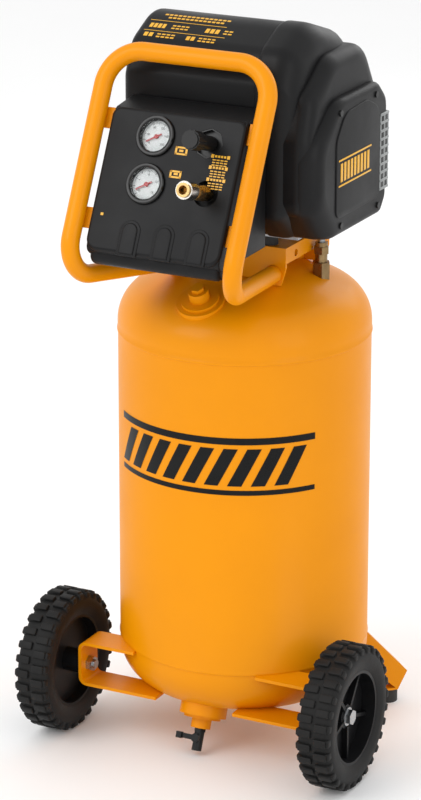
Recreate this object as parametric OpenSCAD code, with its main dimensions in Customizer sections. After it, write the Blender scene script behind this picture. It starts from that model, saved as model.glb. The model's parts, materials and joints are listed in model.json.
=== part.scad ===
// Portable upright air compressor: a vertical tank on two wheels and two rubber feet, with a
// direct-drive piston pump under a moulded shroud and a control console inside the handle loop.
// Millimetres. +Z is up, -Y is the handle and console side, X runs along the wheel axle.
// Each sub-part is drawn about the tank axis and moved by tank_y, so that the origin is under
// the middle of the whole machine, on the ground.

/* [Tank] */
// Outer diameter of the tank
tank_d = 351; // [300:1:400]
// Plate thickness of the tank
tank_wall = 2.8; // [2:0.1:4]
// Height of the lower weld seam above the ground
seam_low_z = 131; // [122:1:160]
// Length of the straight shell between the seams
shell_h = 470.5; // [380:0.5:570]
// Distance of the upper port from the tank's side
top_port_in = 43.5; // [38:0.5:60]
// Distance of the drain port from the tank's side
drain_port_in = 53.5; // [46:0.5:70]
// Outer diameter of the port bungs
bung_d = 28; // [24:1:34]

/* [Wheels] */
// Diameter of the tyres
wheel_d = 203.2; // [180:0.1:225]
// Width of a tyre
wheel_w = 50.6; // [40:0.1:60]
// Clear distance between a tyre and the tank's side
wheel_clear = 17.6; // [17:0.1:40]
// Distance of the axle line behind the tank's front
axle_in = 42.4; // [38:0.1:48]
// Diameter of the axle bolts
axle_d = 12.7; // [10:0.1:16]
// Radius of the plastic rim under the tyre
rim_r = 66; // [56:1:70]
// Depth of the bolt head below the tyre's outer face
hub_recess = 10; // [8:1:14]

/* [Wheel brackets] */
// Width of the bent strap
strap_w = 47; // [40:1:56]
// Thickness of the strap
strap_t = 4.5; // [3:0.5:6]
// Height of the strap's upper face above the axle line
strap_rise = 40; // [34:1:46]
// Depth of the strap's lower face below the axle line
strap_drop = 25.6; // [22:0.1:30]
// Gap between the strap and the tyre
strap_gap = 10; // [8:1:16]

/* [Rear legs] */
// Reach of a rear leg beyond the tank's side
leg_out = 67.5; // [60:0.5:110]
// Width of the leg channel
leg_w = 40; // [34:1:50]
// Sheet thickness of the leg
leg_t = 3; // [2:0.5:5]
// Height of the rubber feet
foot_h = 22; // [18:1:26]
// Diameter of the rubber feet
foot_d = 30; // [24:1:34]

/* [Handle] */
// Diameter of the handle tube
tube_d = 25; // [22:0.5:28]
// Wall of the handle tube
tube_wall = 2; // [1.5:0.5:3]
// Distance between the centre lines of the two sides
handle_w = 240; // [230:1:280]
// Length of a side, from corner to corner
handle_side = 311; // [295:1:360]
// Angle at which the handle leans back from the vertical
handle_lean = 26.2; // [20:0.1:28]
// Distance of the lower corners in front of the hood
handle_out = 162; // [155:1:180]
// Height of the lower corners above the tank's top
handle_rise = 30.8; // [28:0.1:40]
// Bend radius at the top of the handle
bend_top = 50; // [36:1:60]
// Bend radius at the bottom of the handle
bend_low = 40; // [30:1:46]

/* [Console] */
// Gap between the console and the handle's tube
console_gap = 8.5; // [6:0.5:12]
// Distance up the slope from the lower handle corners to the console's lower edge
console_low = 46; // [42:1:52]
// Margin of the console above the upper gauge
console_margin = 7; // [4:0.5:12]
// Wall of the console moulding
console_wall = 2.5; // [2:0.5:4]
// Diameter of the gauges
gauge_d = 55; // [48:1:58]
// Gap between the two gauges
gauge_gap = 9; // [5:1:14]
// Reach of the quick coupler in front of the console
coupler_reach = 66; // [60:1:72]
// Radius of the quick coupler's mouth
coupler_bore_r = 6; // [5:0.1:7]

/* [Shroud] */
// Left end of the hood
hood_left = 118; // [112:1:135]
// Right end of the shroud's end cover
hood_right = 166; // [158:1:185]
// Height of the shroud's lower edge above the tank's top
hood_rise = 62.8; // [61:0.1:65]
// Height of the hood
hood_h = 282; // [276:1:310]
// Wall of the shroud moulding
hood_wall = 2.5; // [2:0.5:4]

/* [Pump] */
// Bore of the cylinder
bore_d = 60; // [50:1:64]
// Stroke of the piston
stroke = 30; // [24:1:32]
// Diameter of the motor housing
motor_d = 128; // [110:1:132]
// Diameter of the motor shaft
shaft_d = 16; // [12:0.5:18]
// Height of the crankshaft's centre line above the pump's base
crank_h = 94; // [90:1:96]

/* [Hidden] */
$fn = 64;

paint = "#f9a11b";
black = "#26282b";
rubber_black = "#1b1b1c";
steel = "#b9bcc0";
nickel = "#d8d6cf";
brass = "#b8913f";
alloy = "#a9abae";
white = "#eeeeea";
red = "#b0262c";

// Clearances, used by every fit of their kind
running = 0.05;
loose = 0.3;
moving_gap = 0.5;

// Seams of the bent tubes
seam_gap = 0.02;
seam_reach = 1.5;

// Tank: torispherical heads, in the proportions of a two-to-one dished end
tank_r = tank_d / 2;
crown_r = 0.9045 * tank_d;
knuckle_r = 0.1727 * tank_d;
head_depth = crown_r - sqrt(pow(crown_r - knuckle_r, 2) - pow(tank_r - knuckle_r, 2));
seam_top_z = seam_low_z + shell_h;
tank_top_z = seam_top_z + head_depth;
top_port_r = tank_r - top_port_in;
drain_port_r = tank_r - drain_port_in;
boss_r = 33;
boss_h = 18;
bung_h = 32;
valve_h = 64;
valve_r = 7;
valve_bore_r = 2.2;
ball_r = 4.6;
ball_h = 46;
stem_r = 1.8;
port_bore_r = bung_d / 2 - 5;
top_flange_h = 6;

// Wheels and brackets
wheel_r = wheel_d / 2;
axle_r = axle_d / 2;
axle_front = tank_r - axle_in;
tyre_in = tank_r + wheel_clear;
tyre_out = tyre_in + wheel_w;
hub_r = 17;
rib_h = 11;
web_x = tyre_in - strap_gap;
hub_in = web_x + 1;
head_h = 7;
washer_t = 2;
nut_h = 9;
hub_out = tyre_out - hub_recess - head_h - washer_t - moving_gap;
bolt_across = 19;
bolt_end = web_x - strap_t - nut_h - 3;
axle_chord = sqrt(tank_r * tank_r - axle_front * axle_front);
strap_top_x = axle_chord - 19.4;
strap_low_x = axle_chord - 54.4;
strap_bend = 12;
strap_set = 1.6;

// Rear legs, in the radial plane of each leg
leg_tip_z = 50;
leg_reach = tank_r + leg_out;
leg_end_r = leg_reach - 14;
foot_r = leg_reach - 23;
leg_a = [tank_r - 10, seam_low_z + 3];
leg_b = [leg_reach, leg_tip_z];
leg_c = [leg_end_r, foot_h];
leg_e = [tank_r - 36, seam_low_z - 30];

// Handle
tube_r = tube_d / 2;
lean_s = sin(handle_lean);
lean_c = cos(handle_lean);
handle_x = handle_w / 2;
hood_front = -131;
handle_front = handle_out - hood_front;
handle_low_z = tank_top_z + handle_rise;
handle_top = [handle_x, lean_s * handle_side - handle_front, handle_low_z + lean_c * handle_side];
handle_low = [handle_x, -handle_front, handle_low_z];
saddle_y = 62;
leg_end = [73, -saddle_y, handle_low_z - 30];
tab_h = 28;
tab_low = 85;
tab_high = 220;
ear_t = 3;
ear_out = -24;

// Saddle and pump base
saddle_z = tank_top_z + 38.8;
saddle_t = 4;
saddle_x = 92;
saddle_back = 75;
lip_h = 22;
isolator_h = 14;
isolator_r = 11;
base_z = saddle_z + isolator_h;
base_t = 4;
mount_x = 62;
mount_y = 48;
bolt_r = 4;

// Pipework on the tank's top
check_x = 104;
check_y = 24;
riser_x = -40;
riser_y = -72;
riser_z = tank_top_z + 45.8;
riser_front = -180;
pipe_r = 6;
pipe_wall = 1.5;
pipe_hole_r = 4.5;
pipe_bend = 14;
tube_small_r = 5;
tube_back_y = 80;
tube_low_z = tank_top_z + 75.8;
valve_top_z = tank_top_z + 28.8;

// Hood outline: distances behind the tank axis, seen from the side
hood_back = 100;
hood_low_z = tank_top_z + hood_rise;
hood_top_z = hood_low_z + hood_h;
band_x = 75;
step_x = 127;
cover_x = 155;
step_drop = 42;
cover_drop = 100;

// Pump layout along the crankshaft
crank_y = -8;
crank_z = base_z + crank_h;
bore_r = bore_d / 2;
shaft_r = shaft_d / 2;
motor_r = motor_d / 2;
case_in = -88;
case_out = -4;
case_r = 50;
case_wall = 4;
motor_out = case_out + 112;
stator_in = case_out + 22;
stator_l = 68;
rotor_r = 35;
fan_in = motor_out + 10;
fan_w = 22;
fan_r = 58;
cylinder_x = -46;
cylinder_wall = 6;
rod_length = 76;
throw_r = stroke / 2;
wrist_z = crank_z + throw_r + rod_length;
crown_above = 16;
skirt_below = 14;
cylinder_low_z = crank_z + case_r + 1;
cylinder_top_z = wrist_z + crown_above + 1.5;
head_block_h = 28;
pin_r = 5;
rod_t = 12;
disc_r = 26;
disc_t = 10;
pin_stub = 1.5;
disc_x = cylinder_x + rod_t / 2 + pin_stub + moving_gap;
foot_y = 30;

// Console geometry: the front face is the plane of the handle's centre lines
console_x = (handle_w - tube_d) / 2 - console_gap;
gauge_x = -28;
gauge_pitch = gauge_d + gauge_gap;
gauge_mid = 169.4;
gauge_low = gauge_mid - gauge_pitch / 2;
gauge_high = gauge_low + gauge_pitch;
console_high = gauge_high + gauge_d / 2 + console_margin;
coupler_x = 60;
coupler_up = 135;
fitting_droop = 8.5;
knob_x = 50;
knob_up = 200.7;
knob_reach = 56;
sleeve_r = 12;
console_back = hood_front - 3;
case_gap = 0.3;
lens_t = 2;
dial_t = 1;
needle_zero = 210;
face_r = gauge_d / 2 - 5;
console_low_z = handle_low_z + lean_c * console_low - 14;
manifold_out = -35;
nose_r = coupler_bore_r + 3.5;
coupler_mouth = 20;
sleeve_l = 21;
sleeve_low = coupler_reach - 3 - sleeve_l;

// Pressure switch in the console's foot, safety valve on the riser, gland on the hood's back
switch_y = -185;
switch_z = tank_top_z + 95.8;
switch_x0 = -94;
switch_x1 = -28;
safety_z = tank_top_z + 22.8;
safety_x = riser_x + pipe_r;
cord_x = -90;
cord_z = tank_top_z + 100.8;
cord_r = 4.5;

// Vent grille in the shroud's right rear corner
grille_y = 74;
grille_x = 125;
grille_low_z = tank_top_z + 95.8;
grille_h = 107;
grille_t = 2.5;

// Front and rear reach of the machine, and the tank axis that centres it on the origin
fitting_lean = handle_lean - fitting_droop;
front_reach = handle_front - lean_s * coupler_up + cos(fitting_lean) * coupler_reach
              + sin(fitting_lean) * nose_r;
rear_reach = (leg_reach + leg_w / 2) * sqrt(0.5);
tank_y = (front_reach - rear_reach) / 2;

// Height of a tank head's outside above its seam, and its slope, at a distance from the axis
function crown_h(r) = head_depth - crown_r + sqrt(crown_r * crown_r - r * r);
function crown_tilt(r) = asin(r / crown_r);

function unit(v) = v / norm(v);
function arc(c, r, a0, a1, steps = 12) =
    [for (i = [0 : steps]) let (a = a0 + (a1 - a0) * i / steps) c + r * [cos(a), sin(a)]];

// Corner b between a and c, rounded with radius r
function round_corner(a, b, c, r, steps) =
    let (u = unit(a - b),
         v = unit(c - b),
         half = acos(u * v) / 2,
         mid = b + unit(u + v) * r / sin(half),
         from = b + u * r / tan(half) - mid,
         to = b + v * r / tan(half) - mid,
         a0 = atan2(from.y, from.x),
         turn = atan2(from.x * to.y - from.y * to.x, from * to))
    arc(mid, r, a0, a0 + turn, steps);

// Closed outline whose corners are [x, y, radius]
function rounded(corners, steps = 5) =
    let (n = len(corners))
    [for (i = [0 : n - 1])
        let (p = corners[(i + n - 1) % n], q = corners[i], s = corners[(i + 1) % n])
        each q[2] > 0 ? round_corner([p.x, p.y], [q.x, q.y], [s.x, s.y], q[2], steps)
                      : [[q.x, q.y]]];

// The same corners moved inwards by d, for an outline that runs anticlockwise
function inset(corners, d) =
    let (n = len(corners))
    [for (i = [0 : n - 1])
        let (p = corners[(i + n - 1) % n],
             q = corners[i],
             s = corners[(i + 1) % n],
             u = unit([q.x - p.x, q.y - p.y]),
             v = unit([s.x - q.x, s.y - q.y]),
             nu = [-u.y, u.x],
             nv = [-v.y, v.x],
             shift = (nu + nv) * d / (1 + nu * nv))
        [q.x + shift.x, q.y + shift.y, max(q[2] - d, 0.5)]];

module placed() {
    translate([0, tank_y, 0]) children();
}

// Turns +Z onto the direction v
module aim(v) {
    rotate([0, acos(v.z / norm(v)), atan2(v.y, v.x)]) children();
}

module ring(r_out, r_in, h) {
    difference() {
        cylinder(h = h, r = r_out);
        translate([0, 0, -1]) cylinder(h = h + 2, r = r_in);
    }
}

module hexagon(across, h) {
    cylinder(h = h, r = across / sqrt(3), $fn = 6);
}

// Turns +Z onto +X and moves to an axle end
module along_x(x = 0, y = 0, z = 0) {
    translate([x, y, z]) rotate([0, 90, 0]) children();
}

// Outline in Y and Z, extruded along X from x0 to x1
module slab_x(x0, x1) {
    translate([x0, 0, 0]) rotate([90, 0, 90]) linear_extrude(x1 - x0) children();
}

// Frame of the console: X across, Y up the slope, Z out of the front face
module on_console(x = 0, up = 0, out = 0) {
    translate([0, -handle_front, handle_low_z]) rotate([90 - handle_lean, 0, 0])
        translate([x, up, out]) children();
}

// Frame of a fitting on the console, which points a little lower than the panel does
module on_fitting(x, up) {
    on_console(x, up, 0) rotate([fitting_droop, 0, 0]) children();
}

// Frames on the tank's two ports: Z points out of the tank
module on_top_port() {
    translate([0, -top_port_r, seam_top_z + crown_h(top_port_r)])
        rotate([crown_tilt(top_port_r), 0, 0]) children();
}

module on_drain_port() {
    translate([0, -drain_port_r, seam_low_z - crown_h(drain_port_r)])
        rotate([180 - crown_tilt(drain_port_r), 0, 0]) children();
}

// Half section of a head, with its seam at zero height
function head_arc(grow) =
    let (k = asin((tank_r - knuckle_r) / (crown_r - knuckle_r)))
    concat(arc([tank_r - knuckle_r, 0], knuckle_r - grow, 0, 90 - k, 10),
           arc([0, head_depth - crown_r], crown_r - grow, 90 - k * 11 / 12, 90, 11));

function reversed(list) = [for (i = [len(list) - 1 : -1 : 0]) list[i]];

module head_shell() {
    outer = [for (p = head_arc(0)) [max(p.x, 0), p.y]];
    inner = [for (p = head_arc(tank_wall)) [max(p.x, 0), p.y]];
    rotate_extrude($fn = 96) polygon(concat(outer, reversed(inner)));
}

module head_solid() {
    outer = [for (p = head_arc(0)) [max(p.x, 0), p.y]];
    rotate_extrude($fn = 96) polygon(concat(outer, [[0, 0]]));
}

// The whole tank as a solid, used to fit what is welded to it
module tank_solid() {
    translate([0, 0, seam_low_z]) cylinder(h = shell_h, r = tank_r, $fn = 96);
    translate([0, 0, seam_top_z]) head_solid();
    translate([0, 0, seam_low_z]) mirror([0, 0, 1]) head_solid();
}

module tank_shell() {
    color(paint) placed() translate([0, 0, seam_low_z]) ring(tank_r, tank_r - tank_wall, shell_h);
}

module top_head() {
    color(paint) placed() difference() {
        translate([0, 0, seam_top_z]) head_shell();
        on_top_port() translate([0, 0, -20]) cylinder(h = 40, r = port_bore_r);
        translate([check_x, check_y, seam_top_z]) cylinder(h = 120, r = pipe_hole_r);
        translate([riser_x, riser_y, seam_top_z]) cylinder(h = 120, r = pipe_hole_r);
    }
}

module bottom_head() {
    color(paint) placed() difference() {
        translate([0, 0, seam_low_z]) mirror([0, 0, 1]) head_shell();
        on_drain_port() translate([0, 0, -20]) cylinder(h = 40, r = port_bore_r);
    }
}

// Stepped flange and bung of a port, seated on the head
module port_boss(flange_h) {
    difference() {
        union() {
            translate([0, 0, -8]) cylinder(h = 8 + flange_h - 4, r = boss_r);
            translate([0, 0, flange_h - 4]) cylinder(h = 4, r = boss_r - 7);
            translate([0, 0, flange_h]) cylinder(h = bung_h - boss_h, r = bung_d / 2);
        }
        translate([0, 0, -10]) cylinder(h = 60, r = port_bore_r);
    }
}

module top_boss() {
    color(paint) placed() difference() {
        on_top_port() port_boss(top_flange_h);
        translate([0, 0, seam_top_z]) head_solid();
    }
}

module top_plug() {
    color(steel) placed() on_top_port() translate([0, 0, top_flange_h + bung_h - boss_h]) {
        translate([0, 0, -10]) cylinder(h = 10, r = port_bore_r);
        hexagon(16, 5);
    }
}

module drain_boss() {
    color(paint) placed() difference() {
        on_drain_port() port_boss(boss_h);
        translate([0, 0, seam_low_z]) mirror([0, 0, 1]) head_solid();
    }
}

// Drain cock: a small ball valve screwed into the bung, its lever on the front

module drain_valve_body() {
    color(black) placed() on_drain_port() difference() {
        union() {
            translate([0, 0, bung_h - 10]) cylinder(h = 10, r = port_bore_r);
            translate([0, 0, bung_h]) hexagon(15, 5);
            translate([0, 0, bung_h + 5]) cylinder(h = valve_h - bung_h - 5, r = valve_r);
        }
        translate([0, 0, bung_h - 11]) cylinder(h = valve_h, r = valve_bore_r);
        translate([0, 0, ball_h]) sphere(r = ball_r + running);
        translate([0, 0, ball_h]) rotate([-90, 0, 0]) cylinder(h = 12, r = stem_r + running);
    }
}

// Frame of the ball: Z leaves the valve towards the front, along the lever's stem
module on_drain_stem() {
    on_drain_port() translate([0, 0, ball_h]) rotate([-90, 0, 0]) children();
}

module drain_ball() {
    color(steel) placed() on_drain_stem() {
        difference() {
            sphere(r = ball_r);
            rotate([90, 0, 0]) translate([0, 0, -8]) cylinder(h = 16, r = valve_bore_r);
        }
        translate([0, 0, ball_r - 1]) cylinder(h = valve_r + 3 - ball_r, r = stem_r);
    }
}

module drain_lever() {
    color(black) placed() on_drain_stem() translate([0, 0, valve_r + 2]) {
        cylinder(h = 4, r = 6);
        translate([-28, -3.5, 0]) cube([28, 7, 4]);
        translate([-28, -4.5, 0]) cube([8, 9, 7]);
    }
}

// Bent strap of a wheel bracket, for the right side
module wheel_bracket() {
    top_z = wheel_r + strap_rise;
    low_z = wheel_r - strap_drop;
    outer = [[web_x, low_z, strap_bend], [web_x, top_z, strap_bend], [20, top_z, 0],
             [20, low_z, 0]];
    inner = [[web_x - strap_t, low_z + strap_t, strap_bend - strap_t],
             [web_x - strap_t, top_z - strap_t, strap_bend - strap_t],
             [10, top_z - strap_t, 0], [10, low_z + strap_t, 0]];
    difference() {
        translate([0, strap_w / 2 - axle_front + strap_set, 0]) rotate([90, 0, 0])
            linear_extrude(strap_w) difference() {
                polygon(rounded(outer));
                polygon(rounded(inner));
            }
        translate([0, -300, wheel_r]) cube([strap_top_x, 600, 100]);
        translate([0, -300, 0]) cube([strap_low_x, 600, 200]);
        tank_solid();
        along_x(web_x - 2 * strap_t, -axle_front, wheel_r) cylinder(h = 30, r = axle_r + loose);
    }
}

module left_wheel_bracket() {
    color(paint) placed() mirror([1, 0, 0]) wheel_bracket();
}

module right_wheel_bracket() {
    color(paint) placed() wheel_bracket();
}

// Inverted channel of a rear leg, drawn in the radial plane along +X
module rear_leg() {
    down = unit(leg_b - leg_a);
    back = unit(leg_c - leg_b);
    far_a = leg_a - 60 * down;
    far_c = leg_c + 40 * back;
    cavity = [[far_a.x - 50, far_c.y - 50, 0], [far_c.x, far_c.y, 0],
              [leg_b.x, leg_b.y, 0], [far_a.x, far_a.y, 0]];
    difference() {
        union() {
            translate([0, leg_w / 2, 0]) rotate([90, 0, 0]) linear_extrude(leg_w)
                polygon([leg_a, leg_b, leg_c, leg_e]);
            translate([foot_r - foot_d / 2 - 2, -leg_w / 2, foot_h])
                cube([leg_end_r - foot_r + foot_d / 2 + 2, leg_w, leg_t]);
        }
        difference() {
            translate([0, leg_w / 2 - leg_t, 0]) rotate([90, 0, 0])
                linear_extrude(leg_w - 2 * leg_t)
                    polygon([for (p = inset(cavity, leg_t)) [p.x, p.y]]);
            translate([0, -leg_w, 0]) cube([2 * leg_reach, 2 * leg_w, foot_h + leg_t]);
        }
        translate([foot_r, 0, foot_h - 1]) cylinder(h = leg_t + 2, r = 3 + loose);
        tank_solid();
    }
}

module left_rear_leg() {
    color(paint) placed() rotate([0, 0, 135]) rear_leg();
}

module right_rear_leg() {
    color(paint) placed() rotate([0, 0, 45]) rear_leg();
}

module at_feet() {
    for (a = [45, 135]) rotate([0, 0, a]) translate([foot_r, 0, 0]) children();
}

module rubber_feet() {
    color(rubber_black) placed() at_feet() difference() {
        cylinder(h = foot_h, r = foot_d / 2);
        translate([0, 0, -1]) cylinder(h = 7, r = 7.5);
        translate([0, 0, -1]) cylinder(h = foot_h + 2, r = 3 + loose);
    }
}

module foot_screws() {
    color(steel) placed() at_feet() {
        translate([0, 0, 2]) cylinder(h = 4, r = 6);
        translate([0, 0, 6]) cylinder(h = foot_h, r = 3);
        translate([0, 0, foot_h + leg_t]) hexagon(10, 5);
    }
}

module both_sides() {
    children();
    mirror([1, 0, 0]) children();
}

module axle_bolts() {
    color(steel) placed() both_sides() {
        along_x(bolt_end, -axle_front, wheel_r)
            cylinder(h = hub_out + moving_gap + washer_t - bolt_end, r = axle_r);
        along_x(hub_out + moving_gap, -axle_front, wheel_r) cylinder(h = washer_t, r = 13);
        along_x(hub_out + moving_gap + washer_t, -axle_front, wheel_r)
            hexagon(bolt_across, head_h);
    }
}

module axle_nuts() {
    color(steel) placed() both_sides() along_x(web_x - strap_t - nut_h, -axle_front, wheel_r)
        difference() {
            hexagon(bolt_across, nut_h);
            translate([0, 0, -1]) cylinder(h = nut_h + 2, r = axle_r);
        }
}

// Rim, in the wheel's own frame: +Z outwards, zero at the tyre's inner face
module rim() {
    low = hub_in - tyre_in;
    high = hub_out - tyre_in;
    bore = axle_r + running;
    spoke_r = rim_r - 4;
    rotate_extrude($fn = 96) polygon([[bore, low], [hub_r, low], [hub_r, 20], [spoke_r, 20],
        [spoke_r, 5], [rim_r, 5], [rim_r, wheel_w - 5], [spoke_r, wheel_w - 5],
        [spoke_r, 25], [hub_r, 25], [hub_r, high], [bore, high]]);
    for (a = [0 : 72 : 288]) rotate([0, 0, a]) translate([hub_r - 1.5, -2.5, 22.5])
        cube([spoke_r - hub_r + 3, 5, rib_h]);
}

module tyre() {
    rotate_extrude($fn = 96) polygon([[rim_r, 5], [rim_r + 6, 2], [wheel_r - 12, 0],
        [wheel_r - 5, 1.5], [wheel_r, 7], [wheel_r, wheel_w - 7], [wheel_r - 5, wheel_w - 1.5],
        [wheel_r - 12, wheel_w], [rim_r + 6, wheel_w - 2], [rim_r, wheel_w - 5]]);
}

module right_rim() {
    color(black) placed() along_x(tyre_in, -axle_front, wheel_r) rim();
}

module left_rim() {
    color(black) placed() mirror([1, 0, 0]) along_x(tyre_in, -axle_front, wheel_r) rim();
}

module right_tyre() {
    color(rubber_black) placed() along_x(tyre_in, -axle_front, wheel_r) tyre();
}

module left_tyre() {
    color(rubber_black) placed() mirror([1, 0, 0]) along_x(tyre_in, -axle_front, wheel_r) tyre();
}

module at_mounts() {
    for (x = [-mount_x, mount_x], y = [-mount_y, mount_y]) translate([x, y, 0]) children();
}

// Pressed saddle between the tank's top and the pump
module saddle() {
    wall_x = 55;
    color(paint) placed() difference() {
        union() {
            translate([-saddle_x, -saddle_y, saddle_z - saddle_t])
                cube([2 * saddle_x, saddle_y + saddle_back, saddle_t]);
            for (y = [-saddle_y, saddle_back - saddle_t])
                translate([0, y + saddle_t, 0]) rotate([90, 0, 0]) linear_extrude(saddle_t)
                    polygon([[-saddle_x, saddle_z - 1], [-saddle_x, saddle_z - lip_h - 6],
                             [-saddle_x + 7, tank_top_z - 14], [saddle_x - 7, tank_top_z - 14],
                             [saddle_x, saddle_z - lip_h - 6], [saddle_x, saddle_z - 1]]);
            for (x = [-saddle_x, saddle_x - saddle_t])
                translate([x, -saddle_y, saddle_z - lip_h])
                    cube([saddle_t, saddle_y + saddle_back, lip_h - 1]);
            for (x = [-wall_x, wall_x - saddle_t])
                translate([x, -saddle_y, tank_top_z - 30])
                    cube([saddle_t, saddle_y + saddle_back, saddle_z - tank_top_z + 29]);
        }
        translate([0, 0, seam_top_z]) head_solid();
        at_mounts() translate([0, 0, saddle_z - 10]) cylinder(h = 20, r = bolt_r + loose);
        translate([saddle_x - 2 * saddle_t, -30, saddle_z - 13]) rotate([0, 90, 0])
            cylinder(h = 20, r = 5);
    }
}

module isolators() {
    color(rubber_black) placed() at_mounts() translate([0, 0, saddle_z])
        ring(isolator_r, bolt_r + loose, isolator_h);
}

module base_bolts() {
    color(steel) placed() at_mounts() {
        translate([0, 0, saddle_z - saddle_t - 6]) hexagon(13, 6);
        translate([0, 0, saddle_z - saddle_t]) cylinder(h = saddle_t + isolator_h + base_t, r = bolt_r);
        translate([0, 0, base_z + base_t]) hexagon(13, 6);
    }
}

// Base plate with the motor's cradle blocks
module pump_base() {
    color(alloy) placed() difference() {
        union() {
            translate([case_in - 6, -saddle_y, base_z])
                cube([motor_out - case_in + 8, 2 * saddle_y, base_t]);
            for (x = [case_out + 14, motor_out - 30])
                translate([x, crank_y - foot_y, base_z + base_t - 1])
                    cube([16, 2 * foot_y, crank_z - base_z - motor_r + 10]);
        }
        along_x(case_out, crank_y, crank_z) cylinder(h = 200, r = motor_r);
        at_mounts() translate([0, 0, base_z - 1]) cylinder(h = base_t + 2, r = bolt_r + loose);
    }
}

// Straight piece and elbow of a bent tube; wall 0 gives a solid bar
module tube_section(r, wall) {
    difference() {
        circle(r);
        if (wall > 0) circle(r - wall);
    }
}

module straight(a, b, r, wall) {
    translate(a) aim(b - a) linear_extrude(norm(b - a)) tube_section(r, wall);
}

module elbow(a, b, c, bend, r, wall) {
    u = unit(a - b);
    v = unit(c - b);
    half = acos(u * v) / 2;
    mid = b + unit(u + v) * bend / sin(half);
    e1 = unit(b + u * bend / tan(half) - mid);
    e2 = unit(b + v * bend / tan(half) - mid);
    w = unit(cross(e1, e2));
    e3 = cross(w, e1);
    multmatrix([[e1.x, e3.x, w.x, mid.x], [e1.y, e3.y, w.y, mid.y], [e1.z, e3.z, w.z, mid.z],
                [0, 0, 0, 1]])
        rotate_extrude(angle = 180 - 2 * half) translate([bend, 0]) tube_section(r, wall);
}

function trim(a, b, c, bend) = bend / tan(acos(unit(a - b) * unit(c - b)) / 2);

// Weld ring inside the wall, across the seam between a straight and an elbow
module weld_ring(at, along, r, wall) {
    translate(at) aim(along) translate([0, 0, -seam_reach])
        ring(r - wall / 4, r - 3 * wall / 4, 2 * seam_reach);
}

// Tube along a path of corners, with one bend radius for each inner corner
module bent_tube(path, bends, r, wall) {
    n = len(path);
    cut = [for (i = [0 : n - 1])
        i == 0 || i == n - 1 ? 0 : trim(path[i - 1], path[i], path[i + 1], bends[i - 1])];
    for (i = [0 : n - 2]) {
        d = unit(path[i + 1] - path[i]);
        a = path[i] + d * cut[i];
        b = path[i + 1] - d * cut[i + 1];
        straight(a + d * (i > 0 ? seam_gap : 0), b - d * (i < n - 2 ? seam_gap : 0), r, wall);
        if (i > 0) weld_ring(a, d, r, wall);
        if (i < n - 2) weld_ring(b, d, r, wall);
    }
    for (i = [1 : n - 2]) elbow(path[i - 1], path[i], path[i + 1], bends[i - 1], r, wall);
}

function flip(p) = [-p.x, p.y, p.z];

// Handle: one bent tube with four tabs for the console
module handle_frame() {
    past_end = leg_end + 20 * unit(leg_end - handle_low);
    color(paint) placed() {
        difference() {
            bent_tube([past_end, handle_low, handle_top, flip(handle_top), flip(handle_low),
                       flip(past_end)], [bend_low, bend_top, bend_top, bend_low],
                      tube_r, tube_wall);
            translate([-150, -saddle_y, handle_low_z - 120]) cube([300, 100, 200]);
        }
        both_sides() for (up = [tab_low, tab_high]) difference() {
            union() {
                on_console(console_x, up - tab_h / 2, -12)
                    cube([handle_x - console_x, tab_h, 4]);
                on_console(console_x, up - tab_h / 2, -34) cube([ear_t, tab_h, 24]);
            }
            straight(handle_low - [0, 0, 1], handle_top, tube_r - tube_wall / 2, 0);
            on_console(console_x - 5, up, ear_out) rotate([0, 90, 0])
                cylinder(h = 20, r = 2.5 + loose);
        }
    }
}

module console_screws() {
    color(black) placed() both_sides() for (up = [tab_low, tab_high])
        on_console(console_x - console_wall - 4, up, ear_out) rotate([0, 90, 0]) {
            hexagon(8, 4);
            cylinder(h = 4 + console_wall + ear_t, r = 2.5);
            translate([0, 0, 4 + console_wall + ear_t]) cylinder(h = 3, r = 5);
        }
}

// Side outline of the console: lower lip, back, top, and the leaning front
function front_point(up, r) =
    [lean_s * up - handle_front, handle_low_z + lean_c * up, r];
function console_outline(back) =
    [[front_point(console_low, 0).x + 12, console_low_z, 8], [back, console_low_z + 2, 0],
     [back, front_point(console_high, 0).y + 8, 0], front_point(console_high, 9),
     front_point(console_low, 10)];

module console_panel() {
    color(black) placed() difference() {
        slab_x(-console_x, console_x) polygon(rounded(console_outline(console_back)));
        slab_x(console_wall - console_x, console_x - console_wall)
            polygon(rounded(inset(console_outline(console_back + 10), console_wall)));
        for (up = [gauge_low, gauge_high]) on_console(gauge_x, up, -10)
            cylinder(h = 20, r = gauge_d / 2 + case_gap);
        on_console(knob_x, knob_up, -10) cylinder(h = 20, r = 20.5, $fn = 8);
        on_console(coupler_x, coupler_up, -10) cylinder(h = 20, r = 11);
        both_sides() for (up = [tab_low, tab_high])
            on_console(console_x - 5, up, ear_out) rotate([0, 90, 0])
                cylinder(h = 20, r = 2.5 + loose);
        translate([riser_x, riser_front, console_low_z - 2]) cylinder(h = 10, r = pipe_r + 2);
        translate([-console_x - 1, switch_y - 15, switch_z - 8]) cube([5, 30, 16]);
    }
}

module at_gauges() {
    for (up = [gauge_low, gauge_high]) on_console(gauge_x, up, 0) children();
}

module gauge_cases() {
    color(black) placed() at_gauges() {
        difference() {
            translate([0, 0, -22]) cylinder(h = 27, r = gauge_d / 2);
            translate([0, 0, -20]) cylinder(h = 30, r = face_r);
        }
        translate([0, 0, manifold_out]) cylinder(h = -22 - manifold_out, r = 5);
        difference() {
            translate([0, 0, -20]) cylinder(h = 16 - dial_t, r = 4);
            translate([0, 0, -12]) cylinder(h = 16, r = 1.2 + running);
        }
    }
}

module gauge_dials() {
    color(white) placed() at_gauges() translate([0, 0, -4 - dial_t])
        ring(face_r, 1.2 + running, dial_t);
}

module gauge_lenses() {
    color([0.8, 0.85, 0.9, 0.35]) placed() at_gauges() translate([0, 0, 1.5])
        cylinder(h = lens_t, r = face_r);
}

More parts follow.
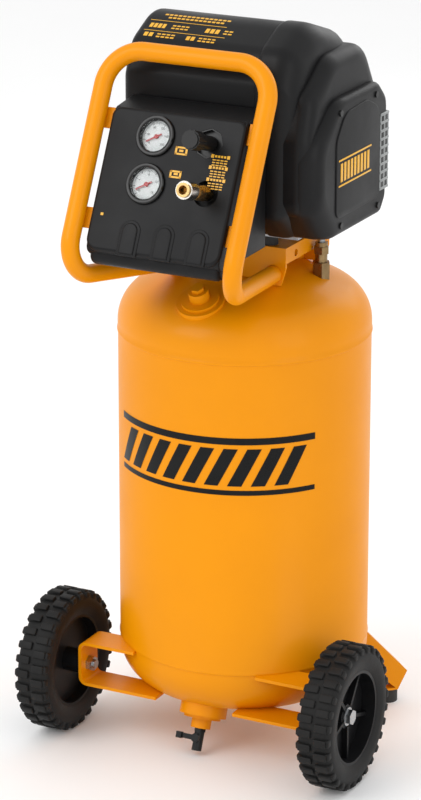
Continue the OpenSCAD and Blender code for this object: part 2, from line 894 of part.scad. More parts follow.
// Needle with its spindle, pointing at the dial's zero
module needle() {
    rotate([0, 0, needle_zero]) {
        translate([0, 0, -9]) cylinder(h = 8, r = 1.2);
        translate([0, 0, -3]) cylinder(h = 2, r = 3);
        translate([-8, -0.9, -2.6]) cube([24, 1.8, 1]);
    }
}

module tank_needle() {
    color(red) placed() on_console(gauge_x, gauge_high, 0) needle();
}

module outlet_needle() {
    color(red) placed() on_console(gauge_x, gauge_low, 0) needle();
}

module manifold_bar() {
    on_console(gauge_x - 22, gauge_low - 15, manifold_out - 25)
        cube([coupler_x - gauge_x + 36, 30, 25]);
}

// Air block behind the console, with risers to the upper gauge and the regulator
module manifold_blocks() {
    manifold_bar();
    on_console(gauge_x - 10, gauge_low + 14, manifold_out - 25)
        cube([20, gauge_pitch - 2, 25]);
    on_console(knob_x - 10, gauge_low + 14, manifold_out - 25)
        cube([20, knob_up - gauge_low - 4, 15]);
}

module manifold() {
    color(alloy) placed() difference() {
        manifold_blocks();
        at_gauges() translate([0, 0, manifold_out - 15]) cylinder(h = 16, r = 2.5);
        on_fitting(coupler_x, coupler_up) translate([0, 0, manifold_out - 15])
            cylinder(h = 30, r = 3.5);
    }
}

module regulator_body() {
    color(black) placed() difference() {
        union() {
            on_fitting(knob_x, knob_up) {
                translate([0, 0, manifold_out - 14]) cylinder(h = 30, r = 14);
                translate([0, 0, manifold_out + 15]) cylinder(h = 10, r = 17);
            }
            on_console(knob_x, knob_up, -10) cylinder(h = 9.8, r = 20.2, $fn = 8);
        }
        on_console(knob_x, knob_up, -7) cylinder(h = 10, r = 18.5, $fn = 8);
        on_fitting(knob_x, knob_up) translate([0, 0, -22]) cylinder(h = 20, r = 6 + running);
        manifold_blocks();
    }
}

// Knob with a long stem and a fluted head
module regulator_knob() {
    head_low = knob_reach - 24;
    color(black) placed() on_fitting(knob_x, knob_up) difference() {
        union() {
            translate([0, 0, -21.5]) cylinder(h = 20, r = 6);
            translate([0, 0, -5]) cylinder(h = head_low + 6, r = 10);
            translate([0, 0, head_low]) cylinder(h = 22, r = 13);
            translate([0, 0, head_low + 22]) cylinder(h = 2, r = 11);
        }
        for (a = [0 : 30 : 330]) rotate([0, 0, a]) translate([14.5, 0, head_low - 1])
            cylinder(h = 24, r = 2.2);
    }
}

module coupler_body() {
    color(brass) placed() difference() {
        on_fitting(coupler_x, coupler_up) {
            translate([0, 0, manifold_out - 2]) cylinder(h = 60, r = 7);
            hexagon(17, 6);
            translate([0, 0, 8]) cylinder(h = sleeve_low - 7 - 8, r = 10.5);
            translate([0, 0, 6]) cylinder(h = coupler_reach - 6, r = nose_r);
        }
        on_fitting(coupler_x, coupler_up) {
            translate([0, 0, coupler_reach - coupler_mouth])
                cylinder(h = coupler_mouth + 1, r = coupler_bore_r);
            translate([0, 0, manifold_out - 3])
                cylinder(h = coupler_reach - coupler_mouth - manifold_out + 4, r = 3.5);
        }
        manifold_blocks();
    }
}

module coupler_sleeve() {
    color(nickel) placed() on_fitting(coupler_x, coupler_up) translate([0, 0, sleeve_low])
        ring(sleeve_r, nose_r + running, sleeve_l);
}

// Pressure switch: a box in the console's foot, its lever through the left wall
module pressure_switch() {
    color(black) placed() difference() {
        union() {
            translate([switch_x0, switch_y - 30, console_low_z + 8])
                cube([switch_x1 - switch_x0, 65, 35]);
            translate([riser_x, switch_y - 10, console_low_z + 42]) cylinder(h = 20, r = 6);
        }
        manifold_bar();
        along_x(switch_x0 - 1, switch_y, switch_z) cylinder(h = 14, r = 3 + running);
        translate([riser_x, riser_front, console_low_z + 7]) cylinder(h = 12, r = pipe_r);
    }
}

module switch_lever() {
    color(red) placed() {
        along_x(-console_x - 8, switch_y, switch_z)
            cylinder(h = console_x + 8 + switch_x0 + 12, r = 3);
        along_x(-console_x - 8, switch_y, switch_z) cylinder(h = 6, r = 7);
        translate([-console_x - 8, switch_y - 24, switch_z - 4]) cube([6, 24, 8]);
    }
}

// Safety valve on the riser, pointing along +X, with its pull ring
module safety_valve_body() {
    color(brass) placed() difference() {
        along_x(riser_x, riser_y, safety_z) {
            cylinder(h = pipe_r + 8, r = 4.5);
            translate([0, 0, pipe_r + 2]) hexagon(14, 6);
            translate([0, 0, pipe_r + 7]) cylinder(h = 18, r = 7);
        }
        translate([riser_x, riser_y, safety_z - 20]) cylinder(h = 40, r = pipe_r);
        along_x(safety_x + 10, riser_y, safety_z) cylinder(h = 20, r = 1.5 + running);
    }
}

module safety_valve_ring() {
    color(steel) placed() {
        along_x(safety_x + 12, riser_y, safety_z) cylinder(h = 20, r = 1.5);
        translate([safety_x + 40, riser_y, safety_z]) rotate([90, 0, 0])
            rotate_extrude() translate([9, 0]) circle(1.4);
    }
}

module riser_pipe() {
    low = [riser_x, riser_y, safety_z - 20];
    color(steel) placed() {
        bent_tube([low, [riser_x, riser_y, riser_z], [riser_x, riser_front, riser_z],
                   [riser_x, riser_front, console_low_z + 19]],
                  [pipe_bend, pipe_bend], pipe_r, pipe_wall);
        difference() {
            translate([riser_x, riser_y, tank_top_z - 30])
                ring(pipe_r + 2, pipe_r - pipe_wall, low.z - tank_top_z + 36);
            translate([0, 0, seam_top_z]) head_solid();
        }
    }
}

module check_valve() {
    foot_z = tank_top_z - 40;
    color(brass) placed() difference() {
        translate([check_x, check_y, 0]) {
            translate([0, 0, foot_z]) hexagon(22, valve_top_z - 28 - foot_z);
            translate([0, 0, valve_top_z - 16]) hexagon(19, 10);
            translate([0, 0, foot_z]) cylinder(h = valve_top_z - foot_z, r = 8.5);
        }
        translate([check_x, check_y, foot_z]) cylinder(h = 100, r = 3);
        translate([check_x, check_y, valve_top_z - 10]) cylinder(h = 20, r = tube_small_r);
        translate([0, 0, seam_top_z]) head_solid();
    }
}

// Delivery tube from the cylinder head, down behind the motor to the check valve
module outlet_tube() {
    head_z = cylinder_top_z + head_block_h / 2;
    head_bend_r = 26; // wide, to follow the hood's sloping back
    color(alloy) placed() bent_tube([
        [cylinder_x, crank_y + bore_r + cylinder_wall, head_z],
        [cylinder_x, tube_back_y, head_z], [cylinder_x, tube_back_y, tube_low_z],
        [check_x, tube_back_y, tube_low_z], [check_x, tube_back_y, tube_low_z - 31],
        [check_x, check_y, tube_low_z - 31], [check_x, check_y, valve_top_z - 10]],
        [head_bend_r, 12, 12, 12, 12], tube_small_r, 1);
}

// Motor: a housing with its stator, and a rotor on the crankshaft
module motor_housing() {
    color(alloy) placed() along_x(case_out, crank_y, crank_z) {
        difference() {
            cylinder(h = motor_out - case_out, r = motor_r);
            translate([0, 0, case_wall])
                cylinder(h = motor_out - case_out - 2 * case_wall, r = motor_r - 4);
            translate([0, 0, -1]) cylinder(h = 200, r = shaft_r + running);
        }
        translate([0, 0, stator_in - case_out]) ring(motor_r - 4, rotor_r + 1, stator_l);
    }
}

module motor_shaft() {
    color(steel) placed() {
        along_x(disc_x + disc_t - 1, crank_y, crank_z)
            cylinder(h = fan_in + fan_w - disc_x - disc_t + 1, r = shaft_r);
        along_x(stator_in, crank_y, crank_z) cylinder(h = stator_l, r = rotor_r);
        along_x(disc_x, crank_y, crank_z) cylinder(h = disc_t, r = disc_r);
        along_x(disc_x - pin_stub, crank_y, crank_z + throw_r)
            cylinder(h = pin_stub + 1, r = 7);
    }
}

module cooling_fan() {
    color(black) placed() along_x(fan_in, crank_y, crank_z) difference() {
        union() {
            cylinder(h = fan_w, r = 16);
            cylinder(h = 2, r = fan_r - 8);
            for (a = [0 : 45 : 315]) rotate([0, 0, a]) translate([12, -1.5, 0])
                rotate([0, 0, -12]) cube([fan_r - 14, 3, fan_w]);
        }
        translate([0, 0, -1]) cylinder(h = fan_w + 2, r = shaft_r);
    }
}

module crankcase() {
    color(alloy) placed() difference() {
        union() {
            along_x(case_in, crank_y, crank_z) cylinder(h = case_out - case_in, r = case_r);
            translate([case_in, crank_y - foot_y, base_z + base_t])
                cube([case_out - case_in, 2 * foot_y, crank_z - base_z - base_t]);
            translate([cylinder_x, crank_y, crank_z])
                cylinder(h = cylinder_low_z - crank_z, r = bore_r + cylinder_wall);
        }
        along_x(case_in + case_wall, crank_y, crank_z)
            cylinder(h = case_out - case_in - 2 * case_wall, r = case_r - case_wall);
        translate([cylinder_x, crank_y, crank_z]) cylinder(h = 100, r = bore_r + 1);
        along_x(case_out - 10, crank_y, crank_z) cylinder(h = 20, r = shaft_r + running);
    }
}

module cylinder_fins() {
    for (z = [cylinder_low_z + 4 : 8 : cylinder_top_z - 4])
        translate([0, 0, z]) cylinder(h = 3, r = bore_r + cylinder_wall + 5);
}

module cylinder_barrel() {
    cylinder_h = cylinder_top_z - cylinder_low_z;
    color(alloy) placed() translate([cylinder_x, crank_y, 0]) difference() {
        union() {
            translate([0, 0, cylinder_low_z]) cylinder(h = cylinder_h, r = bore_r + cylinder_wall);
            cylinder_fins();
        }
        translate([0, 0, cylinder_low_z - 1]) cylinder(h = cylinder_h + 2, r = bore_r);
    }
}

module cylinder_head() {
    side = 2 * (bore_r + cylinder_wall);
    color(alloy) placed() difference() {
        translate([cylinder_x - side / 2, crank_y - side / 2, cylinder_top_z])
            cube([side, side, head_block_h]);
        translate([cylinder_x, crank_y, cylinder_top_z - 1]) cylinder(h = 11, r = bore_r - 8);
        for (y = [-side / 2 + 8 : 8 : side / 2 - 8])
            translate([cylinder_x - side, crank_y + y - 2, cylinder_top_z + head_block_h - 8])
                cube([2 * side, 4, 9]);
    }
}

// Piston with its wrist pin across the skirt
module piston() {
    color(alloy) placed() translate([cylinder_x, crank_y, wrist_z]) {
        difference() {
            translate([0, 0, -skirt_below])
                cylinder(h = skirt_below + crown_above, r = bore_r - running);
            translate([0, 0, -skirt_below - 1])
                cylinder(h = skirt_below + crown_above - 4, r = bore_r - 4);
        }
        along_x(-bore_r + 3) cylinder(h = 2 * bore_r - 6, r = pin_r);
    }
}

module connecting_rod() {
    big_z = crank_z + throw_r;
    color(steel) placed() translate([cylinder_x - rod_t / 2, crank_y, 0]) difference() {
        union() {
            along_x(0, 0, big_z) cylinder(h = rod_t, r = 13);
            along_x(0, 0, wrist_z) cylinder(h = rod_t, r = 9);
            translate([2, -5, big_z]) cube([rod_t - 4, 10, rod_length]);
        }
        along_x(-1, 0, big_z) cylinder(h = rod_t + 2, r = 7 + running);
        along_x(-1, 0, wrist_z) cylinder(h = rod_t + 2, r = pin_r + running);
    }
}

module intake_filter() {
    color(black) placed() along_x(cylinder_x - bore_r - cylinder_wall - 26, crank_y,
                                  cylinder_top_z + head_block_h / 2)
        cylinder(h = 26, r = 13);
}

// Shroud outlines, seen from +X: Y to the right, Z up, anticlockwise
hood_main = [[-88, hood_low_z, 10], [hood_back - 4, hood_low_z, 10],
             [hood_back, hood_top_z - 104, 50], [50, hood_top_z - 30, 60],
             [-50, hood_top_z + 2, 60],
             [-112, hood_top_z - 28, 30], [hood_front, hood_top_z - 69, 20],
             [hood_front, hood_low_z + 38, 20]];
hood_band = [for (p = hood_main) [p.x, p.y > hood_top_z ? p.y + 3 : p.y, p[2]]];
hood_step = [[-78, hood_low_z, 10], [hood_back - 6, hood_low_z, 10],
             [hood_back, hood_top_z - step_drop - 62, 40], [60, hood_top_z - step_drop, 50],
             [-40, hood_top_z - step_drop, 50], [-105, hood_top_z - step_drop - 37, 40],
             [hood_front + 5, hood_top_z - step_drop - 100, 20],
             [hood_front + 5, hood_low_z + 48, 30]];
cover_outline = [[-62, hood_low_z, 15], [82, hood_low_z, 12], [hood_back, hood_low_z + 20, 10],
                 [hood_back, hood_top_z - cover_drop - 28, 25],
                 [72, hood_top_z - cover_drop, 20], [-62, hood_top_z - cover_drop - 2, 40],
                 [-112, hood_top_z - cover_drop - 50, 40], [-108, hood_low_z + 48, 40]];
cover_screws = [[-48, hood_low_z + 14], [70, hood_low_z + 14], [60, hood_top_z - cover_drop - 12],
                [-52, hood_top_z - cover_drop - 14]];

module grille_space() {
    translate([grille_x, grille_y, grille_low_z]) cube([100, 100, grille_h]);
}

module shroud_hood() {
    w = hood_wall;
    color(black) placed() difference() {
        union() {
            slab_x(-hood_left, band_x) polygon(rounded(hood_main));
            slab_x(band_x - 1, step_x) polygon(rounded(hood_band));
            slab_x(step_x - 1, cover_x) polygon(rounded(hood_step));
            for (p = cover_screws)
                along_x(cover_x - 1, p.x, p.y) cylinder(h = hood_right - w - cover_x + 1, r = 6);
        }
        slab_x(w - hood_left, band_x) polygon(rounded(inset(hood_main, w)));
        slab_x(band_x - 1, step_x - w) polygon(rounded(inset(hood_band, w)));
        slab_x(step_x - w - 1, cover_x - w) polygon(rounded(inset(hood_step, w)));
        slab_x(cover_x - w - 1, cover_x + 1) polygon(rounded(inset(cover_outline, 17)));
        translate([-hood_left + 12, -76, hood_low_z - 1]) cube([cover_x + hood_left - 20, 162, 5]);
        for (p = cover_screws)
            along_x(cover_x + 2, p.x, p.y) cylinder(h = 30, r = 2);
        grille_space();
        translate([cord_x, hood_back - 10, cord_z]) rotate([-90, 0, 0])
            cylinder(h = 20, r = 9 + loose);
    }
}

module shroud_end_cover() {
    color(black) placed() difference() {
        slab_x(cover_x, hood_right) polygon(rounded(cover_outline));
        slab_x(cover_x - 1, hood_right - hood_wall)
            polygon(rounded(inset(cover_outline, hood_wall)));
        for (p = cover_screws) along_x(cover_x, p.x, p.y) cylinder(h = 30, r = 2 + loose);
        grille_space();
    }
}

// Vent grille wrapped round the right rear corner
module side_grille() {
    slots = 9;
    pitch = (grille_h - 6) / slots;
    color(nickel) placed() difference() {
        translate([grille_x, grille_y, grille_low_z])
            cube([hood_right - grille_x, hood_back - grille_y, grille_h]);
        translate([grille_x - 1, grille_y - 1, grille_low_z - 1])
            cube([hood_right - grille_x - grille_t + 1, hood_back - grille_y - grille_t + 1,
                  grille_h + 2]);
        for (i = [0 : slots - 1]) translate([0, 0, grille_low_z + 5 + i * pitch]) {
            for (y = [grille_y + 3, grille_y + 13])
                translate([hood_right - 5, y, 0]) cube([10, 8, pitch - 4]);
            for (x = [grille_x + 3 : 11 : hood_right - 14])
                translate([x, hood_back - 5, 0]) cube([9, 10, pitch - 4]);
        }
    }
}

module shroud_screws() {
    color(steel) placed() for (p = cover_screws) {
        along_x(cover_x + 3, p.x, p.y) cylinder(h = hood_right - cover_x - 3, r = 2);
        along_x(hood_right, p.x, p.y) cylinder(h = 2, r = 4.5);
    }
}

// Strain relief for the mains lead, low on the hood's back
module cord_gland() {
    color(black) placed() translate([cord_x, hood_back - 8, cord_z]) rotate([-90, 0, 0])
        difference() {
            union() {
                cylinder(h = 14, r = 9);
                translate([0, 0, 8]) cylinder(h = 3, r = 12);
                translate([0, 0, 11]) cylinder(h = 14, r = 7);
            }
            translate([0, 0, -1]) cylinder(h = 30, r = cord_r);
        }
}

tank_shell();
top_head();
bottom_head();
top_boss();
top_plug();
drain_boss();
drain_valve_body();
drain_ball();
drain_lever();
left_wheel_bracket();
right_wheel_bracket();
left_rear_leg();
right_rear_leg();
rubber_feet();
foot_screws();
axle_bolts();
axle_nuts();
left_rim();
left_tyre();
right_rim();
right_tyre();
saddle();
isolators();
base_bolts();
pump_base();
handle_frame();
console_screws();
console_panel();
gauge_cases();
gauge_dials();
gauge_lenses();
tank_needle();
outlet_needle();
manifold();
regulator_body();
regulator_knob();
coupler_body();
coupler_sleeve();
pressure_switch();
switch_lever();
safety_valve_body();
safety_valve_ring();
riser_pipe();
check_valve();
outlet_tube();
motor_housing();
motor_shaft();
cooling_fan();
crankcase();
cylinder_barrel();
cylinder_head();
piston();
connecting_rod();
intake_filter();
shroud_hood();
shroud_end_cover();
side_grille();
shroud_screws();
cord_gland();
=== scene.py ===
import json
import math

import bmesh
import bpy
from mathutils import Matrix, Vector


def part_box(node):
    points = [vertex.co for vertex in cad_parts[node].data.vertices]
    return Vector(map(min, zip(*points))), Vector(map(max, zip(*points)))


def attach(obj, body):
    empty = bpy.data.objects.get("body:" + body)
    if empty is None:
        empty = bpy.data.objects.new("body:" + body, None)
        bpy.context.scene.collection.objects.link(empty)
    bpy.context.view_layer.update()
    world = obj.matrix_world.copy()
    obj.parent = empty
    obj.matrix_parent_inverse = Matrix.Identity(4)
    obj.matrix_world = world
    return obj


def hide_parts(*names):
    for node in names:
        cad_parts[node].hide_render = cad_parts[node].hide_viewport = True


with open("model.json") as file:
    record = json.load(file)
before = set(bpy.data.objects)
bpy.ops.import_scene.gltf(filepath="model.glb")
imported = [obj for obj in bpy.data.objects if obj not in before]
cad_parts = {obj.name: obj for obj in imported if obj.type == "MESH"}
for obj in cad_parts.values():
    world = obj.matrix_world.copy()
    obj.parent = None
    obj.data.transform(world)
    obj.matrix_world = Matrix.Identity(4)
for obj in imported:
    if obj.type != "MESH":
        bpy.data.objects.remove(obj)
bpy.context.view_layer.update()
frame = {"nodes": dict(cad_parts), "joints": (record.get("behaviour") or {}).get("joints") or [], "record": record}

MM = 0.001
joints = {j["name"]: j for j in frame["joints"]}


# ---------------------------------------------------------------- places on the machine

def size_of(node):
    low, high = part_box(node)
    return low, high, (low + high) / 2


shell_low, shell_high, tank_mid = size_of("tank_shell")
tank_y = tank_mid.y
tank_r = shell_high.x
tank_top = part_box("top_head")[1].z
tank_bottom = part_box("bottom_head")[0].z


def facing(point, out, across=(1, 0, 0)):
    """Frame with +Z along out and +X as near to across as it can be."""
    z = Vector(out).normalized()
    y = z.cross(Vector(across)).normalized()
    x = y.cross(z)
    turn = Matrix((x, y, z)).transposed().to_4x4()
    return Matrix.Translation(Vector(point)) @ turn


# The console's front: X across, Y up the slope, Z outwards
tank_gauge = facing(joints["tank_needle_turn"]["pos_m"], joints["tank_needle_turn"]["axis"])
outlet_gauge = facing(joints["outlet_needle_turn"]["pos_m"], joints["outlet_needle_turn"]["axis"])
regulator = facing(joints["regulator_turn"]["pos_m"], joints["regulator_turn"]["axis"])
front = tank_gauge.copy()
front.translation = tank_gauge @ Vector((-tank_gauge.translation.x, 0, 0))
gauge_ups = (201.4, 137.4)  # how far up the slope each gauge sits, upper one first


def on_front(x, up, out=0.0):
    """Frame on the console's front, at millimetres across, up the slope and outwards."""
    return front @ Matrix.Translation((x * MM, (up - gauge_ups[0]) * MM, out * MM))


# ---------------------------------------------------------------- materials

def node_material(name):
    material = bpy.data.materials.new(name)
    material.use_nodes = True
    tree = material.node_tree
    return material, tree, tree.nodes["Principled BSDF"]


def add_noise(tree, coordinates, scale, detail=3.0, roughness=0.5):
    noise = tree.nodes.new("ShaderNodeTexNoise")
    noise.inputs["Scale"].default_value = scale
    noise.inputs["Detail"].default_value = detail
    noise.inputs["Roughness"].default_value = roughness
    tree.links.new(coordinates, noise.inputs["Vector"])
    return noise.outputs["Fac"]


def ramp_between(tree, value, low, high, at_low=0.35, at_high=0.65):
    """A number that runs from low to high as value passes between the two places."""
    spread = tree.nodes.new("ShaderNodeMapRange")
    spread.inputs["From Min"].default_value = at_low
    spread.inputs["From Max"].default_value = at_high
    spread.inputs["To Min"].default_value = low
    spread.inputs["To Max"].default_value = high
    tree.links.new(value, spread.inputs["Value"])
    return spread.outputs["Result"]


def mix_colours(tree, share, first, second):
    mix = tree.nodes.new("ShaderNodeMix")
    mix.data_type = "RGBA"
    tree.links.new(share, mix.inputs["Factor"])
    mix.inputs["A"].default_value = (*first, 1)
    mix.inputs["B"].default_value = (*second, 1)
    return mix.outputs["Result"]


def finish(name, colour, worn, rough, metallic=0.0, grain=900.0, grain_depth=0.02,
           blotch=7.0, coat=0.0, stretch=None, specular=0.5):
    """A surface with two close colours in soft patches, a fine grain and uneven gloss."""
    material, tree, shader = node_material(name)
    place = tree.nodes.new("ShaderNodeTexCoord").outputs["Object"]
    fine_place = place
    if stretch:
        mapping = tree.nodes.new("ShaderNodeMapping")
        mapping.inputs["Scale"].default_value = stretch
        tree.links.new(place, mapping.inputs["Vector"])
        fine_place = mapping.outputs["Vector"]
    patches = add_noise(tree, place, blotch, 5.0, 0.6)
    share = ramp_between(tree, patches, 0.0, 1.0, 0.35, 0.7)
    tree.links.new(mix_colours(tree, share, colour, worn), shader.inputs["Base Color"])
    fine = add_noise(tree, fine_place, grain, 2.0)
    gloss = tree.nodes.new("ShaderNodeMath")
    gloss.operation = "ADD"
    tree.links.new(ramp_between(tree, patches, rough[0], rough[1]), gloss.inputs[0])
    tree.links.new(ramp_between(tree, fine, -0.03, 0.03), gloss.inputs[1])
    tree.links.new(gloss.outputs["Value"], shader.inputs["Roughness"])
    bump = tree.nodes.new("ShaderNodeBump")
    bump.inputs["Strength"].default_value = 1.0
    bump.inputs["Distance"].default_value = grain_depth * MM
    tree.links.new(fine, bump.inputs["Height"])
    tree.links.new(bump.outputs["Normal"], shader.inputs["Normal"])
    shader.inputs["Metallic"].default_value = metallic
    shader.inputs["Specular IOR Level"].default_value = specular
    shader.inputs["Coat Weight"].default_value = coat
    shader.inputs["Coat Roughness"].default_value = 0.12
    return material


paint = finish("orange_powder_paint", (0.78, 0.276, 0.0), (0.73, 0.252, 0.0),
               (0.34, 0.44), grain=500.0, grain_depth=0.05, blotch=4.0, coat=0.06,
               specular=0.14)
moulding = finish("black_moulded_plastic", (0.0045, 0.0045, 0.005), (0.008, 0.008, 0.0085),
                  (0.36, 0.50), grain=1400.0, grain_depth=0.06, blotch=9.0, specular=0.19)
satin_black = finish("satin_black_plastic", (0.006, 0.006, 0.006), (0.010, 0.010, 0.010),
                     (0.28, 0.38), grain=2200.0, grain_depth=0.02, blotch=14.0, specular=0.3)
gloss_black = finish("glossy_black_plastic", (0.004, 0.004, 0.004), (0.008, 0.008, 0.008),
                     (0.16, 0.26), grain=1800.0, grain_depth=0.01, blotch=20.0, specular=0.35)
tyre_rubber = finish("tyre_rubber", (0.006, 0.006, 0.006), (0.013, 0.0125, 0.012),
                     (0.50, 0.68), grain=1100.0, grain_depth=0.12, blotch=16.0, specular=0.22)
soft_rubber = finish("foot_rubber", (0.012, 0.012, 0.012), (0.024, 0.024, 0.023),
                     (0.60, 0.75), grain=1500.0, grain_depth=0.10, blotch=30.0)
zinc = finish("zinc_plated_steel", (0.46, 0.47, 0.48), (0.36, 0.37, 0.38),
              (0.24, 0.38), metallic=1.0, grain=2400.0, grain_depth=0.02, blotch=60.0)
nickel = finish("nickel_plate", (0.66, 0.64, 0.60), (0.54, 0.52, 0.49),
                (0.12, 0.22), metallic=1.0, grain=2600.0, grain_depth=0.008, blotch=50.0)
brass = finish("turned_brass", (0.58, 0.40, 0.17), (0.46, 0.30, 0.12),
               (0.20, 0.34), metallic=1.0, grain=3000.0, grain_depth=0.015, blotch=70.0)
dull_brass = finish("dull_brass", (0.28, 0.19, 0.09), (0.18, 0.12, 0.06),
                    (0.26, 0.40), metallic=1.0, grain=2600.0, grain_depth=0.02, blotch=60.0)
cast_alloy = finish("cast_alloy", (0.42, 0.43, 0.44), (0.33, 0.34, 0.35),
                    (0.42, 0.58), metallic=1.0, grain=900.0, grain_depth=0.15, blotch=30.0)
grey_iron = finish("grey_iron", (0.12, 0.12, 0.125), (0.09, 0.09, 0.095),
                   (0.5, 0.65), metallic=0.8, grain=700.0, grain_depth=0.25, blotch=30.0)
silver_plastic = finish("silver_grille_paint", (0.30, 0.31, 0.31), (0.25, 0.26, 0.26),
                        (0.32, 0.44), metallic=0.5, grain=1500.0, grain_depth=0.02)
dial_paper = finish("dial_white", (0.80, 0.80, 0.78), (0.74, 0.74, 0.72),
                    (0.42, 0.5), grain=3000.0, grain_depth=0.01, blotch=60.0)
dial_ink = finish("dial_ink", (0.02, 0.02, 0.02), (0.035, 0.035, 0.035), (0.4, 0.5))
needle_red = finish("needle_red", (0.50, 0.02, 0.02), (0.42, 0.02, 0.02), (0.25, 0.35))
print_yellow = finish("printed_yellow", (0.80, 0.42, 0.02), (0.72, 0.36, 0.02),
                      (0.35, 0.45), grain=2500.0, grain_depth=0.01)
label_black = finish("label_black", (0.004, 0.004, 0.004), (0.008, 0.008, 0.008),
                     (0.26, 0.34), grain=1200.0, grain_depth=0.01, blotch=10.0, specular=0.15)


def clear_glass():
    material, tree, shader = node_material("clear_lens")
    place = tree.nodes.new("ShaderNodeTexCoord").outputs["Object"]
    smear = add_noise(tree, place, 90.0, 3.0)
    tree.links.new(ramp_between(tree, smear, 0.02, 0.10), shader.inputs["Roughness"])
    shader.inputs["Base Color"].default_value = (0.95, 0.97, 0.98, 1)
    shader.inputs["Transmission Weight"].default_value = 1.0
    shader.inputs["IOR"].default_value = 1.15
    return material


lens_glass = clear_glass()

slot_materials = {
    "tank_paint": paint, "black_moulding": moulding, "black_hardware": satin_black,
    "rubber": soft_rubber, "tyre_rubber": tyre_rubber, "steel": zinc,
    "nickel_plate": nickel, "brass": brass, "cast_alloy": cast_alloy,
    "grey_iron": grey_iron, "dial_white": dial_paper, "needle_red": needle_red,
    "clear_lens": lens_glass}


def dress_cad_nodes():
    for part in frame["record"]["subparts"]:
        node = frame["nodes"][part["node"]]
        node.data.materials.clear()
        node.data.materials.append(slot_materials[part["material_slot"]])


dress_cad_nodes()
for node, material in (("shroud_screws", satin_black), ("cord_gland", satin_black),
                       ("check_valve", dull_brass), ("top_plug", paint)):
    frame["nodes"][node].data.materials[0] = material


# ---------------------------------------------------------------- modelling steps

def deselect():
    if bpy.context.object and bpy.context.object.mode != "OBJECT":
        bpy.ops.object.mode_set(mode="OBJECT")
    bpy.ops.object.select_all(action="DESELECT")


def added(name):
    """Names the primitive just added."""
    piece = bpy.context.object
    piece.name = name
    piece.data.name = name
    return piece


def pick(piece, kind, test):
    """In edit mode, selects just the vertices, edges or faces that pass the test."""
    bpy.ops.mesh.select_mode(type=kind)
    bpy.ops.mesh.select_all(action="DESELECT")
    mesh = bmesh.from_edit_mesh(piece.data)
    parts = {"VERT": mesh.verts, "EDGE": mesh.edges, "FACE": mesh.faces}[kind]
    for part in parts:
        if test(part):
            part.select_set(True)
    mesh.select_flush_mode()
    bmesh.update_edit_mesh(piece.data)


def push(offset):
    bpy.ops.mesh.extrude_region_move(TRANSFORM_OT_translate={"value": Vector(offset)})


def mend():
    """Joins doubled vertices and turns every face outwards."""
    bpy.ops.mesh.select_all(action="SELECT")
    bpy.ops.mesh.remove_doubles(threshold=0.002 * MM)
    bpy.ops.mesh.normals_make_consistent(inside=False)


def trace(name, points, closed=False):
    """A wire through points in millimetres, drawn by pulling one vertex along."""
    points = [Vector(p) * MM for p in points]
    deselect()
    bpy.ops.mesh.primitive_plane_add(size=MM)
    piece = added(name)
    bpy.ops.object.mode_set(mode="EDIT")
    bpy.ops.mesh.select_mode(type="VERT")
    bpy.ops.mesh.select_all(action="SELECT")
    bpy.ops.mesh.merge(type="CENTER")
    bpy.ops.transform.translate(value=points[0])
    for a, b in zip(points, points[1:]):
        push(b - a)
    if closed:
        ends = (points[0], points[-1])
        pick(piece, "VERT", lambda v: min((v.co - e).length for e in ends) < 1e-7)
        bpy.ops.mesh.edge_face_add()
    return piece


def lathe(name, profile, steps=64, turn=360.0):
    """Spins a profile of (radius, height) in millimetres about the Z axis."""
    piece = trace(name, [(r, 0, z) for r, z in profile])
    bpy.ops.mesh.select_all(action="SELECT")
    bpy.ops.mesh.spin(steps=steps, angle=math.radians(turn), center=(0, 0, 0), axis=(0, 0, 1))
    mend()
    return piece


def slab(name, outline, x0, x1, rounding=0.0, steps=4):
    """Extrudes a closed outline of (y, z) from x0 to x1 and rounds the edges of both ends."""
    piece = trace(name, [(x0, y, z) for y, z in outline], closed=True)
    bpy.ops.mesh.select_all(action="SELECT")
    bpy.ops.mesh.edge_face_add()
    bpy.ops.mesh.select_all(action="SELECT")
    push(((x1 - x0) * MM, 0, 0))
    mend()
    if rounding:
        ends = (x0 * MM, x1 * MM)
        pick(piece, "EDGE", lambda e: any(all(abs(v.co.x - x) < 1e-6 for v in e.verts)
                                          for x in ends))
        bpy.ops.mesh.bevel(offset=rounding * MM, segments=steps, profile=0.5, affect="EDGES",
                           clamp_overlap=True)
    return piece


def block(name, low, high, rounding=0.6, steps=2):
    """A block between two corners in millimetres, with every edge rounded."""
    deselect()
    low, high = Vector(low) * MM, Vector(high) * MM
    bpy.ops.mesh.primitive_cube_add(size=1, location=(low + high) / 2, scale=high - low)
    piece = added(name)
    bpy.ops.object.transform_apply(location=True, rotation=True, scale=True)
    bpy.ops.object.mode_set(mode="EDIT")
    bpy.ops.mesh.select_all(action="SELECT")
    bpy.ops.mesh.bevel(offset=rounding * MM, segments=steps, affect="EDGES")
    return piece


def settle(piece, place=Matrix.Identity(4), smooth=32.0):
    """Leaves edit mode, puts the piece in its place and shades its round faces smoothly."""
    deselect()
    piece.select_set(True)
    bpy.context.view_layer.objects.active = piece
    piece.matrix_world = place
    bpy.ops.object.transform_apply(location=True, rotation=True, scale=True)
    bpy.ops.object.shade_smooth_by_angle(angle=math.radians(smooth))
    return piece


def copied(piece, place, name):
    """A second piece of the same shape, with its own mesh, turned or moved by place."""
    deselect()
    piece.select_set(True)
    bpy.context.view_layer.objects.active = piece
    bpy.ops.object.duplicate()
    return settle(added(name), place)


def joined(pieces, name):
    deselect()
    for piece in pieces:
        piece.select_set(True)
    bpy.context.view_layer.objects.active = pieces[0]
    bpy.ops.object.join()
    return added(name)


def around_z(degrees):
    return Matrix.Rotation(math.radians(degrees), 4, "Z")


